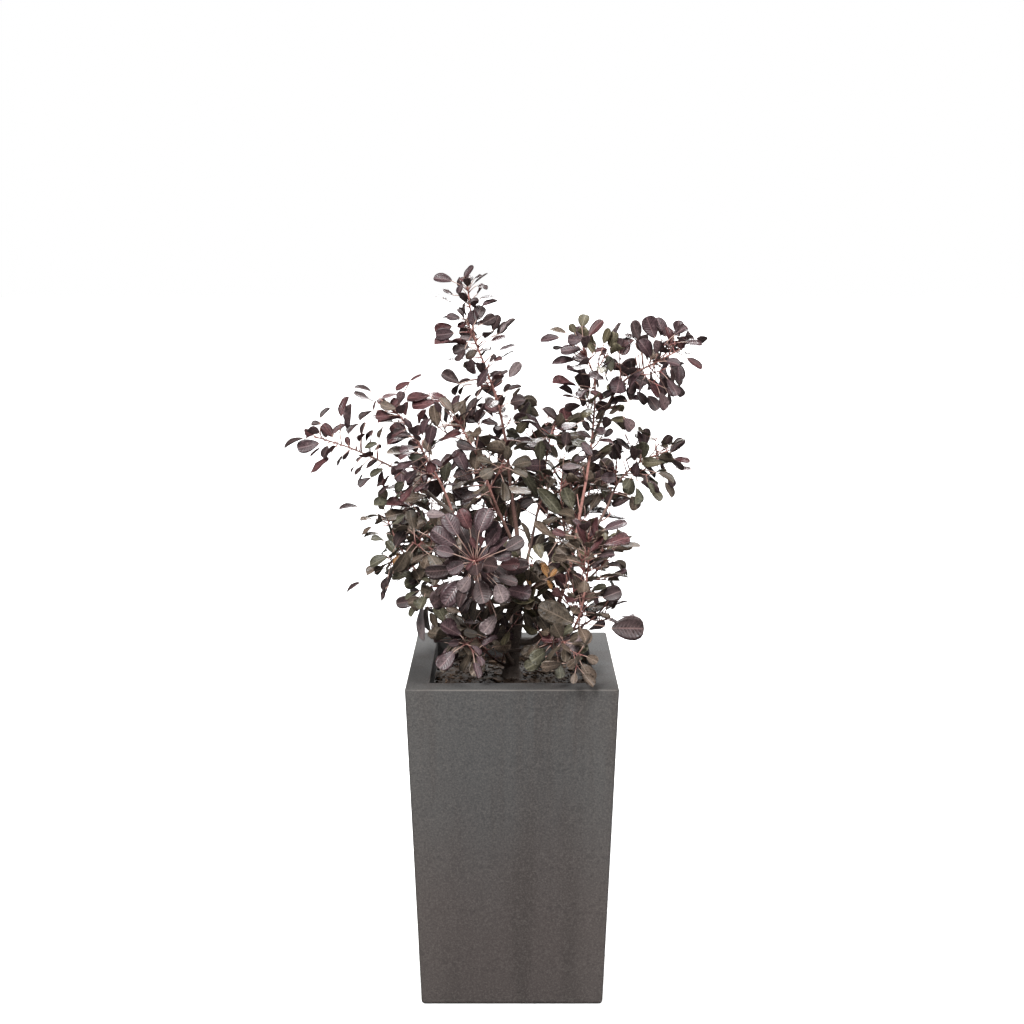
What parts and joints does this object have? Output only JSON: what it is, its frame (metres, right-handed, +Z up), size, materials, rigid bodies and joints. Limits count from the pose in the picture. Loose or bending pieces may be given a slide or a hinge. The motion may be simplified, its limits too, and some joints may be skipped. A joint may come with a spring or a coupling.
{
  "type": "potted smoke bush",
  "caption": "Purple-leaved smoke bush with a short trunk, long arching shoots and open sprays of leaves, standing in a tall tapered square planter.",
  "frame": {"origin": "centre of the planter's flat underside", "axes": "+Z up, -Y towards the viewer of the planter's front face, +X to the right seen from the front"},
  "size_m": [0.807, 0.6901, 1.424],
  "materials": {
    "fibre_clay": "fine matte fibre clay, dark warm grey with faint upright streaks",
    "soil": "dark crumbly potting soil with bits of bark",
    "bark": "smooth pinkish brown young bark with pale pores",
    "leaf": "soft satin purple-brown leaf with paler veins"
  },
  "bodies": {
    "root": {"pot": "fibre_clay", "soil": "soil", "trunk": "bark", "bough_tall": "bark", "bough_right": "bark", "bough_left": "bark", "bough_front": "bark", "bough_back": "bark", "bough_right_arm": "bark", "bough_right_low": "bark", "bough_left_arm": "bark", "bough_left_low": "bark", "bough_centre_left": "bark", "bough_centre_back": "bark", "bough_front_right": "bark", "bough_front_low": "bark", "bough_right_foot": "bark", "bough_front_foot": "bark", "bough_inner_left": "bark", "bough_inner_right": "bark", "bough_centre_front": "bark", "bough_centre_right": "bark", "bough_back_left": "bark", "bough_back_right": "bark", "leaves_tall": "leaf", "leaves_right": "leaf", "leaves_left": "leaf", "leaves_front": "leaf", "leaves_back": "leaf", "leaves_right_arm": "leaf", "leaves_right_low": "leaf", "leaves_left_arm": "leaf", "leaves_left_low": "leaf", "leaves_centre_left": "leaf", "leaves_centre_back": "leaf", "leaves_front_right": "leaf", "leaves_front_low": "leaf", "leaves_right_foot": "leaf", "leaves_front_foot": "leaf", "leaves_inner_left": "leaf", "leaves_inner_right": "leaf", "leaves_centre_front": "leaf", "leaves_centre_right": "leaf", "leaves_back_left": "leaf", "leaves_back_right": "leaf"}
  },
  "joints": []
}
